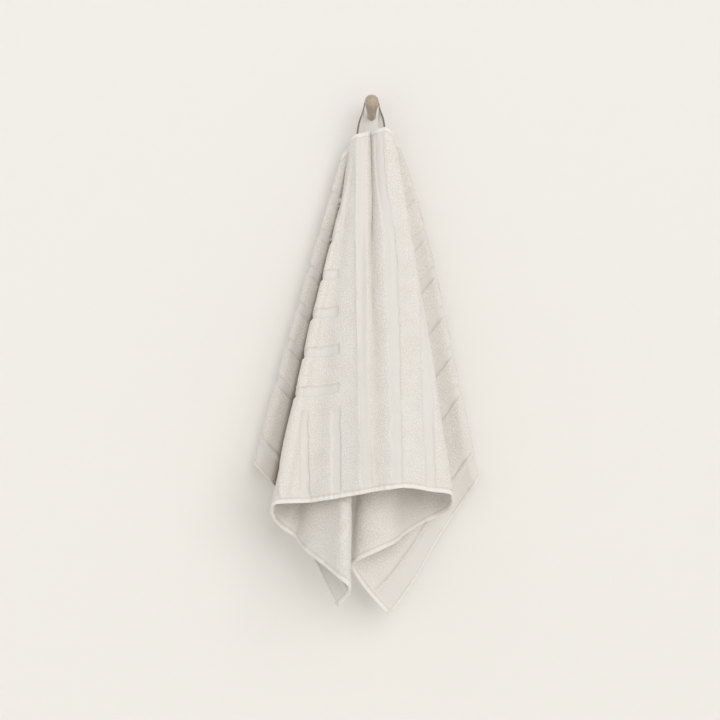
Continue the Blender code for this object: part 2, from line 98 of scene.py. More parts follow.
# Soft crests that the two front lobes carry between the middle and their folds: flat angle where each ends, and its
# height half a metre down
CRESTS = {-1: (13.5, 0.0100), 1: (7.2, 0.0040)}

# The deep crease where the left front fold lies against the layer behind it
CREASE_DEPTH = 0.0030
CREASE_SPREAD = 0.75
CREASE = (
    # (distance, flat angle)
    (0.040, 49.6),
    (0.080, 50.4),
    (0.120, 51.4),
    (0.160, 52.5),
    (0.200, 53.2),
    (0.260, 53.8),
    (0.300, 54.1),
    (0.400, 54.4),
    (0.600, 54.5),
)

# How far the front of the cloth has slipped outward from its straight lines, beside the pleat at the left and right.
# Each pair goes from where there is no slip to where there is all of it
SLIP_LEFT_FROM = (-0.040, -0.029)
SLIP_LEFT_TO = (0.010, -0.0175)
SLIP_RIGHT_FROM = (-0.016, 0.018)
SLIP_RIGHT_TO = 0.030
SLIP_END_ANGLE = 4.6
SLIP = (
    # (distance down, left, right)
    (0.000, 0.0000, 0.0000),
    (0.050, 0.0035, 0.0000),
    (0.075, 0.0040, 0.0010),
    (0.130, 0.0044, 0.0065),
    (0.180, 0.0045, 0.0095),
    (0.270, 0.0040, 0.0098),
    (0.370, 0.0030, 0.0080),
    (0.500, 0.0013, 0.0050),
)

# Where the cloth of either half turns, from the middle out to the top edge: the angle from straight down in the flat
# towel and the heading of the cloth there (0 outward, -90 back to the wall, -180 inward), degrees; how far the layer
# sits outward and back from the loop's end, mm; how much longer the straight line is than in the flat towel (bias
# stretch, or a drawn-in short hem), thousandths; how far the line bows outward, mm. START is the direction of the
# first line, sideways and forward, and FINE_STEP the step at which the tables are summed, degrees
FINE_STEP = 0.125
RIGHT_START = (2.3, 14.4)
LEFT_START = (-0.7, 15.3)
FOLDS = (
    # (section, (flat angle, heading, outward, back, longer, bow) at the right, the same at the left)
    ("middle", (0.0, -25, 0.0, 0.0, 0, 0), (0.0, -35, 0.0, 0.0, 0, 0)),
    ("front", (3.8, -25, 4.8, 1.5, 0, 0), (7.3, -34, 2.6, 1.5, 0, -5)),
    ("front fold in", (5.3, 3, 6.8, 2.1, 0, 0), (12.4, 62, 4.4, 2.5, 0, -8.5)),
    ("front fold", (7.5, -90, 9.6, 3.0, 0, 0), (14.6, -90, 5.2, 3.0, 0, -9.5)),
    ("front fold out", (9.7, -89, 9.6, 3.5, 0, 0), (16.8, -90, 5.2, 3.6, 0, -8.5)),
    ("flank", (15.0, -104, 9.6, 4.8, 0, 0), (21.1, -126, 5.2, 4.8, 0, -4)),
    ("trough", (20.3, -219, 9.4, 6.0, 0, 0), (25.3, -261, 5.2, 6.1, 0, -1)),
    ("rise", (25.6, -250, 6.3, 7.3, 0, 0), (29.5, -216, 3.9, 7.3, 0, 0)),
    ("crease in", (30.9, -158, 3.1, 8.6, 0, 0), (33.8, -238, 2.6, 8.5, 0, 0)),
    ("crease", (32.7, -88, 2.0, 9.0, 0, 0), (35.6, -90, 2.0, 9.0, 0, 0)),
    ("crease out", (34.5, -46, 2.7, 9.4, 0, 0), (37.4, -58, 2.6, 9.4, -8, 0)),
    ("nest", (38.8, -8, 4.3, 10.5, 17, 1), (42.4, -42, 4.3, 10.4, -20, 0)),
    ("nest turn", (43.2, -40, 5.9, 11.5, 8, 4), (47.4, -90, 6.1, 11.5, -22, 0)),
    ("back run", (47.5, -19, 7.5, 12.5, -10, 7), (52.4, 13, 7.8, 12.5, -24, 0)),
    ("side fold in", (51.9, 24, 9.1, 13.5, -30, 10), (57.4, 21, 9.5, 13.6, -26, 0)),
    ("side fold", (53.9, -90, 9.8, 14.0, -36, 11), (59.4, -90, 10.2, 14.0, -26, 0)),
    ("side fold out", (55.9, -183, 9.2, 14.4, -36, 11), (61.4, -169, 9.5, 14.5, -26, 0)),
    ("back", (63.6, -192, 6.9, 16.0, -20, 7), (68.2, -188, 7.1, 16.0, -14, 0)),
    ("inner fold in", (71.3, -189, 4.6, 17.6, 0, 2), (75.0, -199, 4.7, 17.5, 0, 0)),
    ("inner fold", (73.3, -90, 4.0, 18.0, 0, 1), (77.0, -90, 4.0, 18.0, 0, 0)),
    ("inner fold out", (75.3, 2, 4.5, 19.0, 0, 0), (79.0, 4, 4.6, 19.2, 0, 0)),
    ("last", (82.6, 2, 6.2, 22.5, 0, 0), (84.5, 3, 6.4, 22.6, 0, 0)),
    ("top edge", (90.0, 1, 7.9, 26.0, 0, 0), (90.0, 6, 8.2, 26.0, 0, 0)),
)

# Hems: the short ones are narrower, each seam runs a little inside the hem's inner edge, and puckers calm down
# towards the corners
HEM_EDGE = 0.0008
SHORT_HEM_SHARE = 0.6
SEAM_INSIDE = 0.0015
SHORT_SEAM_INSIDE = 0.0012
SEAM_SPREAD = 0.0011
SEAM_DEPTH = 0.0008
CORNER_CALM = 0.035
GROOVE_UNDER_HEM = 0.35

# Low lumps of the pile on either face: height, pitch
OUTER_LUMPS = (0.00016, 0.0085)
INNER_LUMPS = (0.00022, 0.011)

# Grid of the cloth: steps near the middle and the top, and elsewhere
FINE_COLUMN = 0.0024
COLUMN = 0.0042
FINE_COLUMNS_TO = 0.095
FINE_ROW = 0.0018
ROW = 0.0036
FINE_ROWS_TO = 0.060
RIM_STATIONS = [0.0004, 0.001, 0.002]
SEAM_STATION = 0.0007

# Loop and peg
SIDEWAYS = np.array([1.0, 0.0, 0.0])
TAPE_WIDTH = 0.0100
TAPE_THICK = 0.0012
TAPE_AT = 0.0275
TAPE_SEWN = 0.012
CLEAR = 0.0004
TAPE_OFF_CLOTH = 0.0010
TAPE_BOW = 0.004
TAPE_SIDES = 24
TAPE_STRAND_STEPS = 36
TAPE_ARC_STEPS = 49
TAPE_FACE_UV = 0.02
STITCH_LIFT = 0.0001
PEG_TILT = 14.0
PEG_AXIS = np.array([0.0, -np.cos(np.radians(PEG_TILT)), np.sin(np.radians(PEG_TILT))])
PEG_UP = np.cross(PEG_AXIS, SIDEWAYS)
PEG_AT_LOOP = 0.041
PEG_NOSE = 0.0085
PEG_PROFILE = (
    # (distance, radius)
    (0.000, 0.0063),
    (0.014, 0.0067),
    (0.028, 0.0075),
    (0.040, 0.0084),
    (0.050, 0.0092),
    (0.056, 0.0095),
)

# Camera: level, square to the wall, at the height of the towel's middle
CAMERA_AT = (-0.0159, -3.0, -0.3373)
LENS = 108.5


def linear(hex_colour):
    """An sRGB hex colour as linear red, green and blue."""
    channels = [int(hex_colour[place : place + 2], 16) / 255 for place in (1, 3, 5)]
    return tuple(c / 12.92 if c <= 0.04045 else ((c + 0.055) / 1.055) ** 2.4 for c in channels)


def length_property(name, description, default):
    return FloatProperty(name=name, description=description, default=default, min=0.0, unit="LENGTH",
                         subtype="DISTANCE", precision=5)


def colour_property(name, description, hex_colour):
    return FloatVectorProperty(name=name, description=description, default=linear(hex_colour), size=3,
                               min=0.0, max=1.0, subtype="COLOR")


def strength_property(name, description, default, unit="NONE"):
    return FloatProperty(name=name, description=description, default=default, min=0.0, unit=unit)


class TowelClothSettings(bpy.types.PropertyGroup):
    """Sizes and colours of the towel's cloth"""

    pile_height: length_property("Pile height", "How far the loops of the pile stand over the flat weave", 0.0021)
    pile_shoulder: length_property("Pile shoulder", "Width over which the pile rounds down to its edge", 0.0022)
    pile_wander: length_property("Pile wander", "How far the edge of the pile strays from a straight line", 0.0005)
    groove_width: length_property("Groove width", "Width of a stripe of flat weave between pile", 0.0125)
    hem_width: length_property("Hem width", "Width of the turned and sewn hem", 0.0080)
    hem_drop: length_property("Hem drop", "How far the hem lies under the top of the pile", 0.0007)
    pucker: length_property("Pucker height", "Height of the puckers that the hem's seam draws up", 0.0012)
    pucker_pitch: length_property("Pucker pitch", "Mean distance between two puckers", 0.0090)
    unevenness: length_property("Unevenness", "Height of the soft swells of the hanging cloth", 0.0009)
    loop_pitch: length_property("Loop pitch", "Distance between the visible tufts of pile", 0.0021)
    weave_pitch: length_property("Weave pitch", "Distance between the visible ribs of the flat weave", 0.0018)
    pile_colour: colour_property("Pile colour", "Tips of the pile", "#EFEBE6")
    shade_colour: colour_property("Pile shade colour", "Between the loops of the pile", "#DED8D1")
    weave_colour: colour_property("Weave colour", "Flat weave of grooves and borders", "#E2DED9")
    hem_colour: colour_property("Hem colour", "Turned hems, which are two layers of weave", "#EEEAE5")
    # Painted shade: darkens the colour along the hem's seam, for the shade in its shallow groove
    seam_shade_colour: colour_property("Seam colour", "Pressed line of the hem's seam", "#BDB3A7")
    # Painted shade: darkens the cloth along the deep crease beside the left front fold, where shade falls in the
    # narrow gap behind the fold
    crease_shade_colour: colour_property("Crease colour", "Depth of the crease beside the left fold", "#857460")


class TowelTrimSettings(bpy.types.PropertyGroup):
    """Sizes and colours of the loop, the stitches and the peg"""

    stitch_length: length_property("Stitch length", "Length of one stitch that shows", 0.0030)
    stitch_pitch: length_property("Stitch pitch", "Distance from one stitch to the next", 0.0042)
    thread: length_property("Thread", "Thickness of the sewing thread", 0.0006)
    tape_colour: colour_property("Tape colour", "Woven tape of the loop", "#E4E0DA")
    # Painted shade: a dark stripe along the tape's outer edge stands in for the shade on the strands' sides turned
    # from the light
    tape_edge_shade_colour: colour_property("Selvedge colour", "Darker yarns along the tape's outer edge", "#7D766B")
    thread_colour: colour_property("Thread colour", "Sewing thread", "#EDE8DF")
    wood_colour: colour_property("Wood colour", "Pale growth of the wood", "#BEAF9F")
    grain_colour: colour_property("Grain colour", "Darker growth of the wood", "#A3927E")
    peg_sides: IntProperty(name="Peg sides", description="Steps round the turned peg", default=96, min=12)


class TowelStageSettings(bpy.types.PropertyGroup):
    """Light and colours of the stage"""

    paper_colour: colour_property("Paper colour", "Backdrop and floor", "#EEECE8")
    key_strength: strength_property("Key light", "Strength of the soft light from the upper right", 0.98)
    key_softness: FloatProperty(name="Key softness", description="Angle across the soft light", min=0.0,
                                default=np.radians(42.0), subtype="ANGLE")
    fill_strength: strength_property("Fill light", "Strength of the weak light from below the camera", 0.52)
    back_watts: strength_property("Back light", "Power of the light on the cloth's wall side", 14.0, "POWER")
    sky: strength_property("Even light", "Strength of the light from all round", 0.70)


def smoothstep(x):
    x = np.clip(x, 0.0, 1.0)
    return x * x * (3 - 2 * x)


def ramp(x, low, high):
    """0 at low and 1 at high, which may be the smaller, with a smooth step between."""
    return smoothstep((x - low) / (high - low))


def read(rows, place, *columns):
    """The rows' columns at a place in their first column, on straight lines between the rows."""
    table = np.array(rows)
    return [np.interp(place, table[:, 0], table[:, column]) for column in columns]


def running_sum(values, step):
    return np.concatenate([[0.0], np.cumsum((values[1:] + values[:-1]) / 2) * step])


def softened(values):
    """The values along the flat angle, averaged over a bell SOFT_SPREAD degrees wide."""
    reach = int(3 * SOFT_SPREAD / FINE_STEP)
    offsets = np.arange(-reach, reach + 1) * FINE_STEP
    bell = np.exp(-0.5 * (offsets / SOFT_SPREAD) ** 2)
    padded = np.pad(values, reach, mode="reflect", reflect_type="odd")
    return np.convolve(padded, bell / bell.sum(), mode="valid")


def wing_of(side, end, start, bow_at):
    """The cone of one half. The cloth's heading, read from the table, is summed over the flat angle into the
    direction of each straight line, so that the cone keeps the flat towel's lengths."""
    angle = np.arange(0.0, 90.0 + FINE_STEP / 2, FINE_STEP)
    folds = [right if side > 0 else left for _, right, left in FOLDS]
    heading, out, back, longer, bow = read(folds, angle, 1, 2, 3, 4, 5)
    heading, out, back, longer, bow = np.radians(heading), out / 1000, back / 1000, longer / 1000, bow / 1000
    step = np.radians(FINE_STEP)
    forward = np.radians(start[1]) + running_sum(np.sin(heading), step)
    sideways = side * (np.radians(start[0]) + running_sum(np.cos(heading) / np.cos(forward), step))
    down = SHIFT_DROP * back + SAG * np.maximum(out - SAG_FROM, 0.0)
    return {
        "apex": np.array(end) + (0.0, 0.0, RISE),
        "angle": angle,
        "sideways": sideways,
        "forward": forward,
        "soft_sideways": softened(sideways),
        "soft_forward": softened(forward),
        "shift": np.stack([side * out, back, -down], -1),
        "longer": longer,
        "bow": side * bow,
        "bow_at": bow_at,
    }


WINGS = {
    1: wing_of(1, RIGHT_END, RIGHT_START, RIGHT_BOW_AT),
    -1: wing_of(-1, LEFT_END, LEFT_START, LEFT_BOW_AT),
}


def polar(a, b):
    """Distance and flat angle from the point where the straight lines of that half meet."""
    across = np.maximum(np.abs(a) - HALF_SPAN, 0.0)
    down = b + RISE
    return np.hypot(across, down), np.degrees(np.arctan2(across, down))


def freedom(distance):
    """0 where the loop gathers the cloth, 1 from where it hangs free."""
    return ramp(distance, SOFT_FROM, SOFT_TO)


def on_wing(wing, a, b):
    """The apex of the half, plus the distance along the straight line of that flat angle, plus the layer's shift."""
    distance, flat_angle = polar(a, b)

    def at(name):
        return np.interp(flat_angle, wing["angle"], wing[name])

    soft = 1 - freedom(distance)
    sideways = at("sideways") + soft * (at("soft_sideways") - at("sideways"))
    forward = at("forward") + soft * (at("soft_forward") - at("forward"))
    direction = np.stack(
        [np.sin(sideways) * np.cos(forward), -np.sin(forward), -np.cos(sideways) * np.cos(forward)], -1
    )
    shift = np.stack([np.interp(flat_angle, wing["angle"], wing["shift"][:, axis]) for axis in range(3)], -1)
    shifted = (1 - np.exp(-distance / SHIFT_LENGTH))[..., None]
    length = distance * (1 + at("longer"))
    along = distance / wing["bow_at"]
    point = wing["apex"] + shifted * shift + length[..., None] * direction
    point[..., 0] += at("bow") * (along * np.exp(1 - along)) ** 1.5
    return point


def on_centre(a, b):
    """The strip between the loop's ends: straight lines with one pleat back, a squared cosine deepest at the top."""
    left = on_wing(WINGS[-1], np.full_like(a, HALF_SPAN), b)
    right = on_wing(WINGS[1], np.full_like(a, HALF_SPAN), b)
    across = a / HALF_SPAN
    span = right - left
    share = PLEAT_SHARE_TOP + (PLEAT_SHARE_FOOT - PLEAT_SHARE_TOP) * b / DROP
    squeeze = (2 * HALF_SPAN - np.linalg.norm(span, axis=-1)) / (HALF_SPAN * share)
    lean = PLEAT_LEAN * smoothstep(b / DROP)
    half = share * np.where(across > lean, 1 - lean, 1 + lean)
    inside = np.clip((across - lean) / half, -1.0, 1.0)
    lost = half * (inside / 2 + np.sin(np.pi * inside) / (2 * np.pi))
    start = -1 + squeeze * share * (1 + lean) / 2
    place = 2 * (across - squeeze * lost - start) / (2 - squeeze * share) - 1
    depth_share = PLEAT_DEPTH_TOP + (PLEAT_DEPTH_FOOT - PLEAT_DEPTH_TOP) * b / DROP
    depth = depth_share * share * HALF_SPAN * np.sqrt(np.clip(1 - (1 - squeeze / 2) ** 2, 0, 1))
    point = left + span * ((place + 1) / 2)[..., None]
    valley = VALLEY_AT * ramp(b, VALLEY_MOVES_FROM, VALLEY_MOVES_TO)
    flank = share * np.where(across > valley, 1 - valley, 1 + valley)
    up_flank = np.clip((across - valley) / flank, -1.0, 1.0)
    point[..., 1] += depth * np.cos(np.pi / 2 * up_flank) ** 2
    return point


def slipped(a, b):
    """Where the cloth of (a, b) lies in the straight lines' own a, once it has slipped outward beside the pleat."""
    left, right = read(SLIP, b, 1, 2)
    right_end = HALF_SPAN + (b + RISE) * np.tan(np.radians(SLIP_END_ANGLE))
    left_share = ramp(a, *SLIP_LEFT_FROM) * ramp(a, *SLIP_LEFT_TO)
    right_share = ramp(a, *SLIP_RIGHT_FROM) * np.clip((right_end - a) / (right_end - SLIP_RIGHT_TO), 0.0, 1.0)
    return a - left * left_share + right * right_share


def middle_surface(a, b):
    """Where the point (a, b) of the flat towel hangs, half way through the cloth. A squared sine over the flat angle
    brings the crest of each front lobe forward."""
    a, b = np.broadcast_arrays(np.asarray(a, float), np.asarray(b, float))
    a = slipped(a, b)
    point = on_centre(np.clip(a, -HALF_SPAN, HALF_SPAN), b)
    for side, wing in WINGS.items():
        beyond = side * a > HALF_SPAN
        point[beyond] = on_wing(wing, a[beyond], b[beyond])
        distance, flat_angle = polar(a[beyond], b[beyond])
        crest_end, height = CRESTS[side]
        share = np.clip(flat_angle / crest_end, 0.0, 1.0)
        point[beyond, 1] -= height * distance / DROP * np.sin(np.pi * share) ** 2
    return point


def outward(a, b, reach=0.0008):
    """Unit normal on the patterned side, from the points just around (a, b)."""
    along_a = middle_surface(a + reach, b) - middle_surface(a - reach, b)
    along_b = middle_surface(a, b + reach) - middle_surface(a, b - reach)
    normal = np.cross(along_b, along_a)
    return normal / np.linalg.norm(normal, axis=-1, keepdims=True)


def fold_radius(a, b, reach=0.0009):
    """Radius of the circle through three points of the cloth, in the direction square to its straight line."""
    _, flat_angle = polar(a, b)
    step_a = np.where(a < 0, -reach, reach) * np.cos(np.radians(flat_angle))
    step_b = -reach * np.sin(np.radians(flat_angle))
    before, here, after = (middle_surface(a + way * step_a, b + way * step_b) for way in (-1, 0, 1))
    one, two = here - before, after - here
    lengths = [np.linalg.norm(side, axis=-1) for side in (one, two, after - before)]
    doubled_area = np.linalg.norm(np.cross(one, two), axis=-1)
    return lengths[0] * lengths[1] * lengths[2] / (2 * np.maximum(doubled_area, 1e-12))


def thickness(a, b):
    """Thinner at the top and where the cloth is pressed into a tight fold."""
    distance, _ = polar(a, b)
    loose = THICK_AT_TOP + (THICK - THICK_AT_TOP) * freedom(distance)
    return np.maximum(np.minimum(loose, FOLD_SHARE * fold_radius(a, b)), THICK_IN_FOLD)


def ripple(x, y, pitch, seed):
    """A smooth uneven field between -1 and 1: five plane waves near one pitch, turned and shifted by the seed."""
    rng = np.random.default_rng(seed)
    total = np.zeros(np.broadcast(x, y).shape)
    for _ in range(5):
        turn, phase = rng.uniform(0, 2 * np.pi, 2)
        wave = pitch * rng.uniform(0.7, 1.5)
        total += np.sin(2 * np.pi * (x * np.cos(turn) + y * np.sin(turn)) / wave + phase)
    return total / 3.0


def groove_spans():
    """(centre across, first b, last b) of each groove that runs down the towel."""
    rows = []
    for side in (-1, 1):
        for number in range(GROOVES_A_SIDE):
            across = side * GROOVE_PITCH * (number + 0.5)
            in_block = -BLOCK_FAR_EDGE < across < -BLOCK_EDGE
            spans = ((-1.0, BLOCK_TOP), (BLOCK_FOOT, DROP + 1.0)) if in_block else ((-1.0, DROP + 1.0),)
            rows.extend((across, first, last) for first, last in spans)
    return rows


def block_rows():
    """b of the middle of each groove that runs across the block at the left."""
    return [BLOCK_ROW_FIRST + BLOCK_ROW_PITCH * number for number in range(BLOCK_ROWS)]


def pile_cover(a, b, cloth):
    """Share of the full pile height: 1 on the pile, down a rounded shoulder to 0 in each groove and border."""
    stray = cloth.pile_wander * ripple(a, b, 0.014, 3)
    half = cloth.groove_width / 2
    outside = np.full(a.shape, 1.0)
    grooves = [(a, b, *span) for span in groove_spans()]
    grooves += [(b, a, down, -BLOCK_FAR_EDGE, -BLOCK_EDGE) for down in block_rows()]
    for over, along, middle, first, last in grooves:
        beyond = np.maximum(first - along, along - last)
        outside = np.minimum(outside, np.maximum(np.abs(over - middle) - half, beyond) + stray)
    from_side = WIDTH / 2 - np.abs(a)
    line_foot = BORDER_WIDTH + RAISED_LINE
    on_line = np.minimum(from_side - BORDER_WIDTH, line_foot - from_side)
    past_line = from_side - line_foot - RAISED_LINE_GROOVE
    by_line = from_side < line_foot + RAISED_LINE_GROOVE / 2
    outside = np.where(by_line, on_line, np.minimum(outside, past_line + stray))
    inwards = np.clip(outside / cloth.pile_shoulder, 0.0, 1.0)
    return np.sqrt(1 - (1 - inwards) ** 2)


def to_edges(a, b):
    """Distance from the nearer long side and from the nearer short side of the flat towel."""
    return np.minimum(b, DROP - b), WIDTH / 2 - np.abs(a)


def hem_cover(a, b, cloth):
    """1 on the turned hems of the two long sides and the narrow ones of the short sides, 0 on the rest."""
    from_long, from_short = to_edges(a, b)
    long_hem = smoothstep((cloth.hem_width - from_long) / HEM_EDGE + 0.5)
    short_hem = smoothstep((SHORT_HEM_SHARE * cloth.hem_width - from_short) / HEM_EDGE + 0.5)
    return np.maximum(long_hem, short_hem)


def seam_insets(cloth):
    """How far the seams of the long and of the short hems lie inside the cloth's edge."""
    return cloth.hem_width - SEAM_INSIDE, SHORT_HEM_SHARE * cloth.hem_width - SHORT_SEAM_INSIDE


def seam_line(a, b, cloth):
    """1 along the seam of each hem, falling off as a bell."""
    from_long, from_short = (edge - inset for edge, inset in zip(to_edges(a, b), seam_insets(cloth)))
    return np.exp(-((np.minimum(np.abs(from_long), np.abs(from_short)) / SEAM_SPREAD) ** 2))


def off_corner(a, b):
    """0 at the towel's corners, 1 from CORNER_CALM along either hem."""
    return smoothstep(np.maximum(*to_edges(a, b)) / CORNER_CALM)


def pucker_wave(a, b, cloth, lag=0.0):
    """Place along the nearest hem, and the puckers there: a sine whose pitch wanders with a slow ripple."""
    from_long, from_short = to_edges(a, b)
    along = np.where(from_long < from_short, a, b)
    phase = along / cloth.pucker_pitch + 0.35 * ripple(along, 0 * along, 0.045, 11)
    return along, cloth.pucker * np.sin(2 * np.pi * phase + lag)


def crease_depth(a, b):
    """1 along the deep crease of the left half, falling off as a bell over the flat angle."""
    distance, flat_angle = polar(a, b)
    away = (flat_angle - read(CREASE, distance, 1)[0]) / CREASE_SPREAD
    return np.where(a < -HALF_SPAN, np.exp(-(away**2)), 0.0) * ramp(distance, 0.03, 0.08)


def outer_height(a, b, cloth):
    """Height of the patterned face over the top of the pile: pile or hem, puckers and lumps, less seam and crease."""
    cover = pile_cover(a, b, cloth)
    hem = hem_cover(a, b, cloth)
    along, puckers = pucker_wave(a, b, cloth)
    puckers = puckers * (0.6 + 0.4 * ripple(along, 0 * along, 0.08, 12)) * off_corner(a, b)
    hem_height = -cloth.hem_drop - GROOVE_UNDER_HEM * cloth.pile_height * (1 - cover) + puckers
    pile_height = -cloth.pile_height * (1 - cover)
    height, pitch = OUTER_LUMPS
    lumps = height * cover * (1 - hem) * ripple(a, b, pitch, 21)
    sunk = SEAM_DEPTH * seam_line(a, b, cloth) + CREASE_DEPTH * crease_depth(a, b)
    return hem * hem_height + (1 - hem) * pile_height + lumps - sunk


def inner_height(a, b, cloth):
    """Height of the plain face over its mean: low lumps of pile, the hem's band with its puckers, seam and crease."""
    hem = hem_cover(a, b, cloth)
    puckers = pucker_wave(a, b, cloth, lag=2.0)[1] * off_corner(a, b)
    height, pitch = INNER_LUMPS
    lumps = height * (1 - hem) * ripple(a, b, pitch, 22)
    sunk = SEAM_DEPTH * seam_line(a, b, cloth) - CREASE_DEPTH * crease_depth(a, b)
    return hem * (0.0005 + puckers) + lumps - sunk


def edge_rounding(a, b):
    """Share of the full thickness: a quarter circle over the last 2 mm before the cloth's edge."""
    inwards = np.clip(np.minimum(*to_edges(a, b)) / 0.002, 0.0, 1.0)
    return 0.25 + 0.75 * np.sqrt(1 - (1 - inwards) ** 2)


def swell(a, b, cloth):
    """Soft unevenness of the hanging cloth, less near the loop and none at the tight folds."""
    distance, _ = polar(a, b)
    free = ramp(distance, 0.04, 0.29)
    room = ramp(fold_radius(a, b, 0.004), 0.006, 0.026)
    return cloth.unevenness * free * room * (ripple(a, b, 0.110, 31) + 0.5 * ripple(a, b, 0.055, 32))


def cloth_faces(a, b, cloth, rounding=1.0, lift=0.0):
    """The outer and inner face, the normal, and the thickness as a share of the free cloth's. Each face is the middle
    surface plus or less the outward normal times half the thickness and the face's own height."""
    normal, thick = outward(a, b), thickness(a, b)
    middle = middle_surface(a, b) + normal * swell(a, b, cloth)[..., None]
    outer, inner = (
        normal * (rounding * (thick / 2 + thick / THICK * height(a, b, cloth) + lift))[..., None]
        for height in (outer_height, inner_height)
    )
    return middle + outer, middle - inner, normal, thick / THICK


def stations(low, high, edges, fine, coarse, fine_to):
    """Places from low to high that keep every edge, with steps of fine out to fine_to and coarse past it, and an
    even number of steps, so that the inner face can use every second one."""
    kept = sorted({low, high, *[round(edge, 6) for edge in edges if low < edge < high]})
    places = [np.array([kept[0]])]
    for one, two in zip(kept[:-1], kept[1:]):
        step = fine if max(abs(one), abs(two)) <= fine_to else coarse
        count = max(1, int(np.ceil((two - one) / step - 1e-6)))
        places.append(one + (two - one) * np.arange(1, count + 1) / count)
    places = np.concatenate(places)
    if len(places) % 2 == 0:
        widest = int(np.argmax(np.diff(places)))
        places = np.insert(places, widest + 1, (places[widest] + places[widest + 1]) / 2)
    return places


def edge_places(centre, half, shoulder):
    """Stations that draw the two rounded edges of one groove."""
    offsets = np.array([-0.0003, 0.0003, 0.25 * shoulder, 0.6 * shoulder, 1.1 * shoulder])
    return [centre + side * (half + offset) for side in (-1, 1) for offset in offsets]


def cloth_grid(cloth):
    """The stations across and down the flat towel, with every edge of the rim, hem, seam, grooves and border."""
    half, shoulder = cloth.groove_width / 2, cloth.pile_shoulder
    rim, short_rim = (
        RIM_STATIONS + [seam - SEAM_STATION, seam, seam + SEAM_STATION, width]
        for seam, width in zip(seam_insets(cloth), (cloth.hem_width, SHORT_HEM_SHARE * cloth.hem_width))
    )
    line_foot = BORDER_WIDTH + RAISED_LINE
    border = [BORDER_WIDTH, BORDER_WIDTH + 0.001, line_foot - 0.001, line_foot, line_foot + RAISED_LINE_GROOVE]
    across = [-HALF_SPAN, HALF_SPAN, -FINE_COLUMNS_TO, FINE_COLUMNS_TO]
    for centre in sorted({row[0] for row in groove_spans()}):
        across += edge_places(centre, half, shoulder)
    for from_side in short_rim + border:
        across += [from_side - WIDTH / 2, WIDTH / 2 - from_side]
    down = [FINE_ROWS_TO] + rim + [DROP - inside for inside in rim]
    for centre in block_rows():
        down += edge_places(centre, half, shoulder)
    return (
        stations(-WIDTH / 2, WIDTH / 2, across, FINE_COLUMN, COLUMN, FINE_COLUMNS_TO),
        stations(0.0, DROP, down, FINE_ROW, ROW, FINE_ROWS_TO),
    )


def around(grid):
    """The outermost entries of a 2-D array, once round from the top left."""
    return np.concatenate([grid[0, :-1], grid[:-1, -1], grid[-1, :0:-1], grid[:0:-1, 0]])


def quads(numbers, turned=False):
    """Faces between the neighbours of a grid of point numbers."""
    corners = (numbers[:-1, :-1], numbers[:-1, 1:], numbers[1:, 1:], numbers[1:, :-1])
    return np.stack(corners[::-1] if turned else corners, -1).reshape(-1, 4)


def round_angles(sides):
    return np.arange(sides) / sides * 2 * np.pi


def tube(rings, sides):
    """Faces of a row of rings: quads between them, and triangles that close both ends, each round a middle point. The
    two middle points come after those of the rings."""
    numbers = np.arange(rings * sides).reshape(rings, sides)
    wrapped = np.concatenate([numbers, numbers[:, :1]], 1)
    ends = ((wrapped[0, 1:], wrapped[0, :-1]), (wrapped[-1, :-1], wrapped[-1, 1:]))
    caps = [np.stack([*pair, np.full(sides, numbers.size + end)], -1) for end, pair in enumerate(ends)]
    return quads(wrapped), np.concatenate(caps)


def mesh_piece(name, points, faces, uv=None, floats=None):
    """A mesh object at the origin from a (count, 3) array of points and a list of face arrays, with uv given for
    each corner in face order and named float attributes for each point."""
    mesh = bpy.data.meshes.new(name)
    totals = np.concatenate([np.full(len(part), part.shape[1]) for part in faces])
    corners = np.concatenate([part.reshape(-1) for part in faces])
    mesh.vertices.add(len(points))
    mesh.vertices.foreach_set("co", np.ascontiguousarray(points, np.float32).ravel())
    mesh.loops.add(len(corners))
    mesh.loops.foreach_set("vertex_index", corners.astype(np.int32))
    mesh.polygons.add(len(totals))
    mesh.polygons.foreach_set("loop_start", np.concatenate([[0], np.cumsum(totals)[:-1]]).astype(np.int32))
    mesh.polygons.foreach_set("use_smooth", np.ones(len(totals), bool))
    if uv is not None:
        layer = mesh.uv_layers.new(name="cloth")
        layer.data.foreach_set("uv", np.ascontiguousarray(uv, np.float32).ravel())
    for attribute, values in (floats or {}).items():
        mesh.attributes.new(attribute, "FLOAT", "POINT").data.foreach_set("value", values.astype(np.float32))
    mesh.update(calc_edges=True)
    mesh.validate()
    made = bpy.data.objects.new(name, mesh)
    bpy.context.scene.collection.objects.link(made)
    return made


def rim_uv(count):
    """A narrow strip of UV beside the towel for the rim, which has three triangles a step."""
    place = np.linspace(0.0, 0.95, count)
    corners = np.array([
        ((0, 0), (0, 0.5), (0.01, 0)),
        ((0, 0.5), (0.01, 1), (0.01, 0)),
        ((0, 0.5), (0, 1), (0.01, 1)),
    ])
    uv = np.zeros((3, count, 3, 2))
    uv[..., 0] = 0.93 + corners[:, None, :, 0]
    uv[..., 1] = place[None, :, None] + place[1] * corners[:, None, :, 1]
    return uv.reshape(-1, 2)


def on_both(outer, inner):
    """A field for each point: all of the outer face, then every second station of the inner one."""
    return np.concatenate([outer.ravel(), inner[::2, ::2].ravel()])


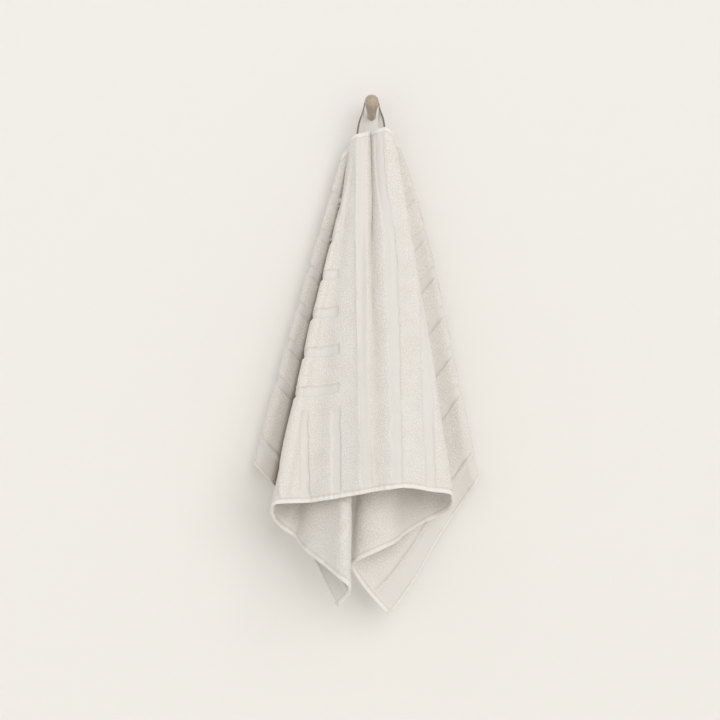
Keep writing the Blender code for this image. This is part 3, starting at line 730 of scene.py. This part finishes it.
def cloth_mesh(cloth):
    """The closed sheet: two faces, of which the inner one has every second station, and a rim of triangles."""
    a, b = np.meshgrid(*cloth_grid(cloth))
    outer, inner, _, _ = cloth_faces(a, b, cloth, edge_rounding(a, b))
    inner = inner[::2, ::2]
    numbers = np.arange(a.size).reshape(a.shape)
    inner_numbers = np.arange(inner[..., 0].size).reshape(inner.shape[:2]) + a.size
    outer_faces, inner_faces = quads(numbers, turned=True), quads(inner_numbers)
    fine, near = around(numbers), around(inner_numbers)
    one, two, three, far = fine[::2], fine[1::2], np.roll(fine, -2)[::2], np.roll(near, -1)
    rim = np.concatenate([np.stack(t, -1) for t in ((one, two, near), (two, far, near), (two, three, far))])
    flat = np.stack([on_both(a + WIDTH / 2, a + WIDTH / 2), on_both(b, b + DROP)], -1)
    uv = np.concatenate([flat[outer_faces.reshape(-1)], flat[inner_faces.reshape(-1)], rim_uv(len(one))])
    # The seam and crease fields carry painted shade: they darken the colour along the hem's seam and along the deep
    # crease beside the left fold
    hem, seam, crease = hem_cover(a, b, cloth), seam_line(a, b, cloth), crease_depth(a, b)
    floats = {
        "pile": on_both(pile_cover(a, b, cloth) * (1 - hem), 1 - hem),
        "hem": on_both(hem, hem),
        "seam": on_both(seam, seam),
        "crease": on_both(crease, 0 * crease),
    }
    points = np.concatenate([outer.reshape(-1, 3), inner.reshape(-1, 3)])
    return mesh_piece("terry_towel", points, [outer_faces, inner_faces, rim], uv, floats)


def peg_radius(distance):
    return read(PEG_PROFILE, distance, 1)[0]


def unit(vectors):
    return vectors / np.linalg.norm(vectors, axis=-1, keepdims=True)


def loop_radius():
    """From the peg's axis to the middle of the tape that lies round it."""
    return peg_radius(PEG_AT_LOOP + TAPE_WIDTH / 2) + CLEAR + TAPE_THICK / 2


def strand(side):
    """Centres and width directions of one sewn end of the tape and its strand up to the peg, from the foot up: a
    straight run to where it touches the peg, with a small bow that leaves the seam in line."""
    along = np.linspace(TAPE_SEWN, 0.0, TAPE_STRAND_STEPS // 2)
    edges = []
    for edge in (-0.5, 0.5):
        a = np.full(along.shape, side * TAPE_AT + edge * TAPE_WIDTH)
        off = thickness(a, along) / 2 + TAPE_OFF_CLOTH + TAPE_THICK / 2
        edges.append(middle_surface(a, along) - outward(a, along) * off[:, None])
    sewn = (edges[0] + edges[1]) / 2
    across = unit(edges[1][-1] - edges[0][-1])
    across = across * np.sign(across @ PEG_AXIS)
    centre, radius = PEG_AXIS * PEG_AT_LOOP, loop_radius()
    reach = sewn[-1] - centre
    sideways, height = side * reach[0], reach @ PEG_UP
    touch = np.arctan2(height, sideways) + np.arccos(radius / np.hypot(sideways, height))
    top = centre + radius * (side * np.cos(touch) * SIDEWAYS + np.sin(touch) * PEG_UP)
    share = np.arange(1, TAPE_STRAND_STEPS + 1)[:, None] / TAPE_STRAND_STEPS
    bow = TAPE_BOW * unit(sewn[-1] - sewn[-2])
    free = sewn[-1] + (top - sewn[-1]) * share + bow * share * (1 - share) ** 2
    turned = smoothstep(share)
    widths = np.concatenate([np.tile(across, (len(along), 1)), unit(across * (1 - turned) + PEG_AXIS * turned)])
    return np.concatenate([sewn, free]), widths, touch


def tape_path():
    """Centres and width directions of the whole tape: up one strand, round the peg as an arc, down the other."""
    right, right_widths, right_touch = strand(1)
    left, left_widths, left_touch = strand(-1)
    turn = np.linspace(right_touch, np.pi - left_touch, TAPE_ARC_STEPS)[1:-1, None]
    arc = PEG_AXIS * PEG_AT_LOOP + loop_radius() * (np.cos(turn) * SIDEWAYS + np.sin(turn) * PEG_UP)
    path = np.concatenate([right, arc, left[::-1]])
    widths = np.concatenate([right_widths, np.tile(PEG_AXIS, (len(arc), 1)), left_widths[::-1]])
    tangent = unit(np.gradient(path, axis=0))
    widths = unit(widths - (widths * tangent).sum(1, keepdims=True) * tangent)
    return path, widths, np.cross(tangent, widths)


def tape_mesh():
    """A flat rounded section with thicker woven edges, carried along the path; UV runs across and along in metres,
    and the second face lies TAPE_FACE_UV beside the first."""
    path, widths, normals = tape_path()
    turn = round_angles(TAPE_SIDES)
    across = TAPE_WIDTH / 2 * np.sign(np.cos(turn)) * np.abs(np.cos(turn)) ** 0.55
    selvedge = 1 + 0.25 * ramp(np.abs(across) / (TAPE_WIDTH / 2), 0.75, 0.87)
    through = TAPE_THICK / 2 * 0.8 * selvedge * np.sign(np.sin(turn)) * np.abs(np.sin(turn)) ** 0.5
    points = path[:, None] + widths[:, None] * across[:, None] + normals[:, None] * through[:, None]
    sides, caps = tube(len(path), TAPE_SIDES)
    along = np.concatenate([[0.0], np.cumsum(np.linalg.norm(np.diff(path, axis=0), axis=1))])
    beside = TAPE_WIDTH + np.where(np.sin(turn) >= 0, 0.0, TAPE_FACE_UV)
    flat = np.stack(np.broadcast_arrays(across[None, :] + beside[None, :], along[:, None]), -1)
    flat = np.concatenate([flat.reshape(-1, 2), [[TAPE_WIDTH, 0.0], [TAPE_WIDTH, along[-1]]]])
    everything = np.concatenate([points.reshape(-1, 3), path[[0, -1]]])
    uv = np.concatenate([flat[sides.reshape(-1)], flat[caps.reshape(-1)]])
    return mesh_piece("woven_tape", everything, [sides, caps], uv), along[-1]


def peg_mesh(sides):
    """The peg's outline turned round its tilted axis: the tapered shaft starts on the wall plane and ends in a nose
    that is a quarter ellipse."""
    turn = round_angles(sides)
    spoke = np.cos(turn)[:, None] * SIDEWAYS + np.sin(turn)[:, None] * PEG_UP
    end, radius = PEG_PROFILE[-1]
    root = PEG_PROFILE[0][1] * np.sin(turn) * PEG_UP[1] / np.cos(np.radians(PEG_TILT))
    distance = root + (end - root) * np.linspace(0.0, 1.0, 40)[:, None]
    rise = np.radians(np.linspace(0.0, 88.0, 18))[1:, None]
    shaft = distance[..., None] * PEG_AXIS + peg_radius(distance)[..., None] * spoke
    nose = (end + PEG_NOSE * np.sin(rise))[..., None] * PEG_AXIS + (radius * np.cos(rise))[..., None] * spoke
    rings = np.concatenate([shaft, nose])
    ends = [[0.0, 0.0, 0.0], PEG_AXIS * (end + PEG_NOSE)]
    return mesh_piece("turned_peg", np.concatenate([rings.reshape(-1, 3), ends]), tube(len(rings), sides))


def beads_along(name, centres, tangents, normals, length, thick):
    """One small rounded stitch at each centre: a six-sided ellipsoid, long along the tangent, half sunk in."""
    rings, sides = 5, 6
    rise = np.linspace(-np.pi / 2, np.pi / 2, rings + 2)[1:-1]
    turn = round_angles(sides)
    radial = np.repeat(np.cos(rise), sides) * thick / 2
    offsets = (
        (tangents, np.append(np.repeat(np.sin(rise), sides) * length / 2, [-length / 2, length / 2])),
        (np.cross(normals, tangents), np.append(radial * np.tile(np.cos(turn), rings), [0, 0])),
        (normals, np.append(radial * np.tile(np.sin(turn), rings), [0, 0])),
    )
    points = centres[:, None] + sum(way[:, None] * offset[:, None] for way, offset in offsets)
    shift = (np.arange(len(centres)) * points.shape[1])[:, None, None]
    faces = [(part[None] + shift).reshape(-1, part.shape[1]) for part in tube(rings, sides)]
    return mesh_piece(name, points.reshape(-1, 3), faces)


def stitch_rows(cloth, pitch):
    """(a, b, whether it runs along a) of each stitch, on the seams of the two long and two short hems."""
    inset, short_inset = seam_insets(cloth)
    along_a = np.arange(-WIDTH / 2 + 2 * inset, WIDTH / 2 - 2 * inset, pitch)
    along_b = np.arange(2 * inset, DROP - 2 * inset, pitch)
    rows = [(along_a, np.full_like(along_a, b), np.ones_like(along_a)) for b in (inset, DROP - inset)]
    rows += [(np.full_like(along_b, a), along_b, np.zeros_like(along_b))
             for a in (short_inset - WIDTH / 2, WIDTH / 2 - short_inset)]
    return (np.concatenate(parts) for parts in zip(*rows))


def stitch_mesh(cloth, trim):
    """A row of stitches on both faces of every hem, sunk into the seam line, none where the cloth is pressed thin."""
    a, b, runs_across = stitch_rows(cloth, trim.stitch_pitch)
    outer, inner, normal, relief = cloth_faces(a, b, cloth, lift=STITCH_LIFT)
    step_a, step_b = 0.001 * runs_across, 0.001 * (1 - runs_across)
    tangent = unit(middle_surface(a + step_a, b + step_b) - middle_surface(a - step_a, b - step_b))
    tangent = tangent * np.minimum(1.0, relief)[:, None]
    keep = relief > 0.5
    centres, tangents, normals = (
        np.concatenate([front[keep], back[keep]])
        for front, back in ((outer, inner), (tangent, tangent), (normal, -normal))
    )
    return beads_along("hem_stitches", centres, tangents, normals, trim.stitch_length, trim.thread)


def node(tree, kind, inputs=None, **settings):
    """Adds one shader node, sets its properties, gives inputs their values or links, and returns its outputs."""
    made = tree.nodes.new("ShaderNode" + kind)
    for name, value in settings.items():
        setattr(made, name, value)
    for name, value in (inputs or {}).items():
        if isinstance(value, bpy.types.NodeSocket):
            tree.links.new(value, made.inputs[name])
        else:
            made.inputs[name].default_value = value
    return made.outputs


def maths(tree, operation, *values, clamp=False):
    """One step of arithmetic on links and numbers."""
    return node(tree, "Math", dict(enumerate(values)), operation=operation, use_clamp=clamp)[0]


def ranged(tree, value, low, high):
    """The value, stretched so that low becomes 0 and high becomes 1."""
    return node(tree, "MapRange", {"Value": value, "From Min": low, "From Max": high})["Result"]


def scaled(tree, place, scale):
    """The place, stretched along each axis."""
    return node(tree, "Mapping", {"Vector": place, "Scale": scale})["Vector"]


def blend(tree, share, under, over):
    """The tone under, covered by the tone over as far as the share says."""
    return node(tree, "Mix", {0: share, 6: under, 7: over}, data_type="RGBA")[2]


def surface(tree, shader, tone, height, strength, depth):
    """Links the tone to the shader's colour, and the height to its normal as a bump."""
    bump = node(tree, "Bump", {"Height": height, "Strength": strength, "Distance": depth})["Normal"]
    tree.links.new(tone, shader.inputs["Base Color"])
    tree.links.new(bump, shader.inputs["Normal"])


def material_with_shader(name, inputs):
    """A new node material, its tree and its Principled shader with the given inputs."""
    made = bpy.data.materials.new(name)
    made.use_nodes = True
    shader = made.node_tree.nodes["Principled BSDF"]
    for entry, value in inputs.items():
        shader.inputs[entry].default_value = value
    return made, made.node_tree, shader


def colour(values):
    return (*values, 1.0)


def terry_material(cloth):
    """Ring-spun cotton terry: soft, dull and faintly downy. The pile is made of rows of small loops, so the eye sees
    pale tips over warm shade; grooves, borders and hems are a flat rib weave. Loops of about 1.5 mm are drawn at
    2.1 mm and ribs of 0.9 mm at twice that, because the real ones are finer than the render can show."""
    made, tree, shader = material_with_shader(
        "Cotton terry", {"Roughness": 0.95, "Sheen Weight": 0.18, "Sheen Roughness": 0.6, "Specular IOR Level": 0.25}
    )
    place = node(tree, "TexCoord")["UV"]
    pile, hem, seam, crease = (
        node(tree, "Attribute", attribute_name=name)["Fac"] for name in ("pile", "hem", "seam", "crease")
    )
    loops_a_metre = 1 / cloth.loop_pitch
    loops = node(
        tree, "TexVoronoi", {"Vector": scaled(tree, place, (1.0, 0.8, 1.0)), "Scale": loops_a_metre,
                             "Randomness": 0.75, "Smoothness": 0.35},
        voronoi_dimensions="2D", feature="SMOOTH_F1",
    )["Distance"]
    height = ranged(tree, loops, 0.55, 0.05)
    fuzz, patches = (
        node(tree, "TexNoise", {"Vector": place, "Scale": scale, "Detail": detail}, noise_dimensions="2D")["Fac"]
        for scale, detail in ((2.1 * loops_a_metre, 2.0), (38.0, 3.0))
    )
    tufts = maths(tree, "ADD", height, maths(tree, "MULTIPLY", fuzz, 0.5))
    turns = scaled(tree, place, (6.283, 6.283, 1.0))
    ribs = (
        node(
            tree, "TexWave", {"Vector": turns, "Scale": 1 / (20 * cloth.weave_pitch) * share, "Distortion": 0.6,
                              "Detail": 1.0, "Detail Scale": 2.0},
            wave_type="BANDS", bands_direction=direction,
        )["Fac"]
        for direction, share in (("X", 1.0), ("Y", 1.3))
    )
    weave = maths(tree, "MULTIPLY", maths(tree, "MULTIPLY", *ribs), 0.22)
    relief = node(tree, "Mix", {0: pile, 2: weave, 3: tufts}, data_type="FLOAT")[0]
    tips = maths(tree, "ADD", maths(tree, "MULTIPLY_ADD", patches, 0.55, -0.05), height, clamp=True)
    tone = blend(tree, tips, colour(cloth.shade_colour), colour(cloth.pile_colour))
    tone = blend(tree, pile, colour(cloth.weave_colour), tone)
    tone = blend(tree, hem, tone, colour(cloth.hem_colour))
    # Painted shade: the seam's groove and the deep crease beside the left fold are darkened in colour, for the shade
    # that falls in them
    for line, share, darker in ((seam, 0.45, cloth.seam_shade_colour), (crease, 0.95, cloth.crease_shade_colour)):
        tone = blend(tree, maths(tree, "MULTIPLY", line, share), tone, colour(darker))
    surface(tree, shader, tone, relief, 0.6, 0.0009)
    return made


def tape_material(trim):
    """Flat woven cotton tape: a tight herringbone with a low sheen, greyer than the pile because no loops stand on
    it. A dark stripe along its outer edge is painted shade, for the shaded sides of the strands. Its 0.6 mm threads
    are drawn at 1.2 mm, because finer ones would not show."""
    made, tree, shader = material_with_shader("Woven cotton tape", {"Roughness": 0.85, "Sheen Weight": 0.1})
    apart = node(tree, "SeparateXYZ", {0: node(tree, "TexCoord")["UV"]})
    slanted = maths(tree, "ADD", apart["Y"], maths(tree, "PINGPONG", apart["X"], 0.0025))
    wave = maths(tree, "SINE", maths(tree, "MULTIPLY", slanted, 6.2832 / 0.0012))
    relief = ranged(tree, wave, -1.0, 1.0)
    dark = tuple(0.72 * channel for channel in trim.tape_colour)
    # Painted shade: the dark stripe along the outer edge of the tape's face
    edge = ranged(tree, maths(tree, "WRAP", apart["X"], TAPE_FACE_UV, 0.0), 0.0121, 0.0129)
    tone = blend(tree, relief, colour(dark), colour(trim.tape_colour))
    tone = blend(tree, edge, tone, colour(trim.tape_edge_shade_colour))
    surface(tree, shader, tone, relief, 0.6, 0.0003)
    return made


def thread_material(trim):
    """Two-ply cotton sewing thread: pale with a slight twist that shows as slanted ribs."""
    made, tree, shader = material_with_shader("Cotton thread", {"Roughness": 0.7})
    place = node(tree, "TexCoord")["Object"]
    ply = node(tree, "TexWave", {"Vector": place, "Scale": 260.0}, bands_direction="DIAGONAL")["Fac"]
    dark = tuple(0.8 * channel for channel in trim.thread_colour)
    tree.links.new(blend(tree, ply, colour(dark), colour(trim.thread_colour)), shader.inputs["Base Color"])
    return made


def beech_material(trim):
    """Turned beech, sanded and oiled thin: pale brown with long faint grain along the axis and short darker flecks,
    dull but smooth. Growth lines are about 1.5 mm apart, flecks 0.7 by 5 mm."""
    coat = {"Coat Weight": 0.08, "Coat Roughness": 0.4}
    made, tree, shader = material_with_shader("Oiled beech", {"Roughness": 0.5, **coat})
    tilt = (np.radians(PEG_TILT), 0.0, 0.0)
    turned = node(tree, "Mapping", {"Vector": node(tree, "TexCoord")["Object"], "Rotation": tilt})["Vector"]
    growth = node(tree, "TexNoise", {"Vector": scaled(tree, turned, (1.0, 0.06, 1.0)), "Scale": 650.0,
                                     "Detail": 3.0, "Distortion": 0.4})["Fac"]
    flecks = node(tree, "TexVoronoi", {"Vector": scaled(tree, turned, (1.0, 0.14, 1.0)), "Scale": 1400.0,
                                       "Randomness": 1.0})["Distance"]
    mixed = maths(tree, "MULTIPLY", ranged(tree, growth, 0.35, 0.65), ranged(tree, flecks, 0.08, 0.22), clamp=True)
    tone = blend(tree, mixed, colour(trim.grain_colour), colour(trim.wood_colour))
    surface(tree, shader, tone, mixed, 0.25, 0.0002)
    return made


def paper_material(stage):
    """Plain matt backdrop paper, seen from its front only, so that the cloth can be looked at from behind."""
    paper = {"Roughness": 1.0, "Specular IOR Level": 0.0, "Base Color": colour(stage.paper_colour)}
    made, tree, shader = material_with_shader("Backdrop paper", paper)
    behind = node(tree, "NewGeometry")["Backfacing"]
    clear = node(tree, "BsdfTransparent")[0]
    mixed = node(tree, "MixShader", {0: behind, 1: shader.outputs[0], 2: clear})[0]
    tree.links.new(mixed, tree.nodes["Material Output"].inputs["Surface"])
    return made


def finish_piece(made, material, slot, *replaced):
    """Gives a piece its material and its body, and hides the CAD nodes that it stands for. The slot is not used."""
    made.data.materials.append(material)
    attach(made, "root")
    if replaced:
        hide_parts(*replaced)


class TOWEL_OT_cloth(bpy.types.Operator):
    """Builds the folded terry towel on the folds of its solid"""

    bl_idname = "towel.cloth"
    bl_label = "Terry towel"

    def execute(self, context):
        cloth = context.scene.towel_cloth
        made = cloth_mesh(cloth)
        finish_piece(made, terry_material(cloth), "terry", "towel")
        return {"FINISHED"}


class TOWEL_OT_loop(bpy.types.Operator):
    """Builds the woven tape loop that carries the towel on the peg"""

    bl_idname = "towel.loop"
    bl_label = "Tape loop"

    def execute(self, context):
        made, length = tape_mesh()
        finish_piece(made, tape_material(context.scene.towel_trim), "tape", "hanging_loop")
        return {"FINISHED"}


class TOWEL_OT_stitches(bpy.types.Operator):
    bl_idname = "towel.stitches"
    bl_label = "Hem stitches"

    def execute(self, context):
        scene = context.scene
        made = stitch_mesh(scene.towel_cloth, scene.towel_trim)
        finish_piece(made, thread_material(scene.towel_trim), "terry")
        return {"FINISHED"}


class TOWEL_OT_peg(bpy.types.Operator):
    """Turns the tapered wooden peg"""

    bl_idname = "towel.peg"
    bl_label = "Wall peg"

    def execute(self, context):
        trim = context.scene.towel_trim
        finish_piece(peg_mesh(trim.peg_sides), beech_material(trim), "peg_wood", "peg")
        return {"FINISHED"}


def plane_piece(name, corners, material):
    """A flat stage sheet from its four corners."""
    made = mesh_piece(name, np.array(corners, float), [np.array([[0, 1, 2, 3]])])
    made.data.materials.append(material)
    return made


def light(name, kind, strength, tint):
    """A light of that kind at the origin, not yet turned."""
    data = bpy.data.lights.new(name, kind)
    data.energy = strength
    data.color = linear(tint)
    made = bpy.data.objects.new(name, data)
    bpy.context.scene.collection.objects.link(made)
    return made


def soft_light(name, at, aim, size, watts, tint):
    """A square area light that points from one place at another."""
    made = light(name, "AREA", watts, tint)
    made.data.size = size
    made.location = at
    made.rotation_euler = (Vector(aim) - Vector(at)).to_track_quat("-Z", "Y").to_euler()


def far_light(name, towards, strength, softness, tint):
    """A light from far off, even over the whole stage, that comes from the given direction."""
    made = light(name, "SUN", strength, tint)
    made.data.angle = softness
    made.rotation_euler = Vector(towards).to_track_quat("Z", "Y").to_euler()


class TOWEL_OT_stage(bpy.types.Operator):
    """Sets the pale backdrop and floor, the soft lights and the camera"""

    bl_idname = "towel.stage"
    bl_label = "Stage"

    def execute(self, context):
        stage = context.scene.towel_stage
        paper = paper_material(stage)
        side, floor, top, near, wall = 3.0, -1.6, 2.2, -4.0, 0.001
        upright = [(-side, wall, floor), (side, wall, floor), (side, wall, top), (-side, wall, top)]
        level = [(-side, near, floor), (side, near, floor), (side, side, floor), (-side, side, floor)]
        plane_piece("stage_backdrop", upright, paper).visible_shadow = False
        plane_piece("stage_floor", level, paper)
        far_light("key", (0.36, -0.87, 0.33), stage.key_strength, stage.key_softness, "#FFFDFA")
        far_light("fill", (-0.12, -0.95, -0.30), stage.fill_strength, 2 * stage.key_softness, "#FFFFFF")
        soft_light("back", (-0.8, 2.0, 0.4), (0.0, -0.05, -0.33), 1.6, stage.back_watts, "#FFFFFF")
        world = bpy.data.worlds.new("Even studio light")
        world.use_nodes = True
        sky = world.node_tree.nodes["Background"]
        sky.inputs["Color"].default_value = colour(linear("#F6F6F4"))
        sky.inputs["Strength"].default_value = stage.sky
        context.scene.world = world
        context.scene.view_settings.view_transform = "Standard"
        lens = bpy.data.cameras.new("camera")
        lens.lens = LENS
        camera = bpy.data.objects.new("camera", lens)
        camera.location = CAMERA_AT
        camera.rotation_euler = (np.pi / 2, 0.0, 0.0)
        context.scene.collection.objects.link(camera)
        context.scene.camera = camera
        return {"FINISHED"}


class TOWEL_PT_panel(bpy.types.Panel):
    """The towel's operators and settings"""

    bl_label = "Towel"
    bl_idname = "TOWEL_PT_panel"
    bl_space_type = "VIEW_3D"
    bl_region_type = "UI"
    bl_category = "Towel"

    def draw(self, context):
        for operator in OPERATORS:
            self.layout.operator(operator.bl_idname)
        for settings in (context.scene.towel_cloth, context.scene.towel_trim, context.scene.towel_stage):
            box = self.layout.box()
            for name in settings.__annotations__:
                box.prop(settings, name)


SETTINGS = {
    "towel_cloth": TowelClothSettings,
    "towel_trim": TowelTrimSettings,
    "towel_stage": TowelStageSettings,
}
OPERATORS = (TOWEL_OT_cloth, TOWEL_OT_loop, TOWEL_OT_stitches, TOWEL_OT_peg, TOWEL_OT_stage)


def register():
    for kind in (*SETTINGS.values(), *OPERATORS, TOWEL_PT_panel):
        bpy.utils.register_class(kind)
    for name, kind in SETTINGS.items():
        setattr(bpy.types.Scene, name, PointerProperty(type=kind))


def unregister():
    for name in SETTINGS:
        delattr(bpy.types.Scene, name)
    for kind in (TOWEL_PT_panel, *reversed(OPERATORS), *SETTINGS.values()):
        bpy.utils.unregister_class(kind)


def main():
    register()
    bpy.ops.towel.cloth()
    bpy.ops.towel.loop()
    bpy.ops.towel.stitches()
    bpy.ops.towel.peg()
    bpy.ops.towel.stage()


if __name__ == "__main__":
    main()
